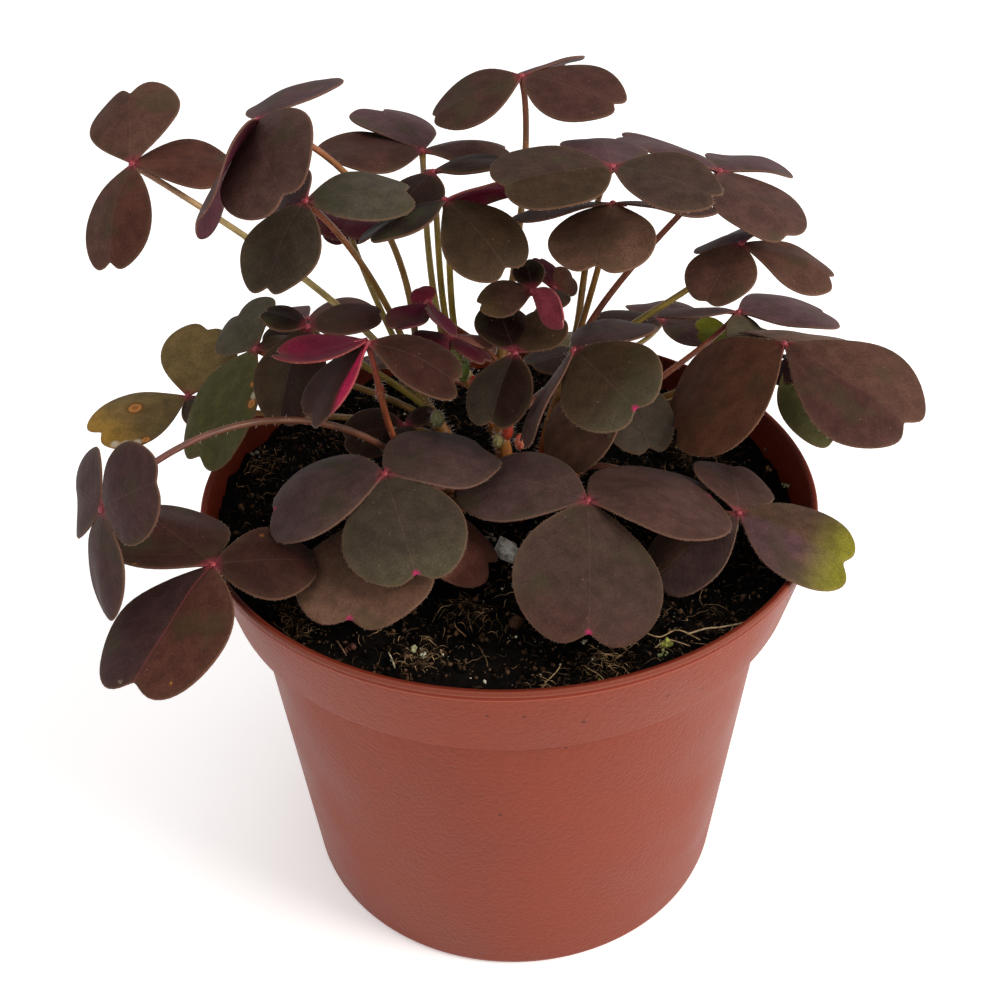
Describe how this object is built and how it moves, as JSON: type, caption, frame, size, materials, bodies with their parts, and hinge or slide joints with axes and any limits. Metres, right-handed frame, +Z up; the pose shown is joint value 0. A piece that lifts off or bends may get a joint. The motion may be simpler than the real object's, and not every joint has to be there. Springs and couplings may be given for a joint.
{
  "type": "potted volcanic sorrel",
  "caption": "Small potted volcanic sorrel: dark burgundy three-part leaves on thin stalks over peaty soil in a round terracotta-coloured plastic nursery pot.",
  "frame": {"origin": "centre of the pot's flat underside, on the surface it stands on", "axes": "+Z up along the pot's axis; -Y is the side shown in the picture; +X is to the right in the picture"},
  "size_m": [0.1379, 0.1098, 0.1491],
  "materials": {
    "pot": "satin",
    "soil": "matte",
    "stem": "satin",
    "leaf_brown": "matte",
    "leaf_purple": "matte",
    "leaf_olive": "matte",
    "leaf_grey": "matte",
    "leaf_green": "matte",
    "leaf_crimson": "matte",
    "leaf_dark": "matte"
  },
  "bodies": {
    "root": {"pot": "pot", "soil": "soil", "stem_left": "stem", "stem_back": "stem", "stem_right": "stem", "stem_right_low": "stem", "stem_front": "stem", "stem_front_left": "stem", "stem_centre": "stem", "leaf_top_left": "leaf_brown", "leaf_upper_left": "leaf_purple", "leaf_grey_left": "leaf_grey", "leaf_mid_left": "leaf_purple", "leaf_mid_left_low": "leaf_dark", "leaf_mid_front": "leaf_olive", "leaf_top": "leaf_purple", "leaf_upper_right": "leaf_grey", "leaf_far_right": "leaf_brown", "leaf_mid_right": "leaf_grey", "leaf_right_small": "leaf_brown", "leaf_big_right": "leaf_brown", "leaf_behind_right": "leaf_purple", "leaf_under_right": "leaf_green", "leaf_centre_right": "leaf_olive", "leaf_centre": "leaf_grey", "leaf_young_pink": "leaf_crimson", "leaf_young_back": "leaf_brown", "leaf_young_crimson": "leaf_crimson", "leaf_young_purple": "leaf_crimson", "leaf_left_dark": "leaf_dark", "leaf_crimson": "leaf_crimson", "leaf_left_green": "leaf_green", "leaf_left_olive": "leaf_olive", "leaf_far_left": "leaf_purple", "leaf_front_left_low": "leaf_brown", "leaf_front_left": "leaf_purple", "leaf_front_under": "leaf_olive", "leaf_front": "leaf_brown", "leaf_right_front": "leaf_olive", "leaf_under_centre": "leaf_olive", "leaf_back_left": "leaf_brown", "leaf_low_dark": "leaf_dark", "leaf_bright_green": "leaf_green", "leaf_back_low_left": "leaf_brown", "leaf_back_low_right": "leaf_olive", "leaf_back_far_left": "leaf_purple", "leaf_back_right": "leaf_grey"}
  },
  "joints": []
}
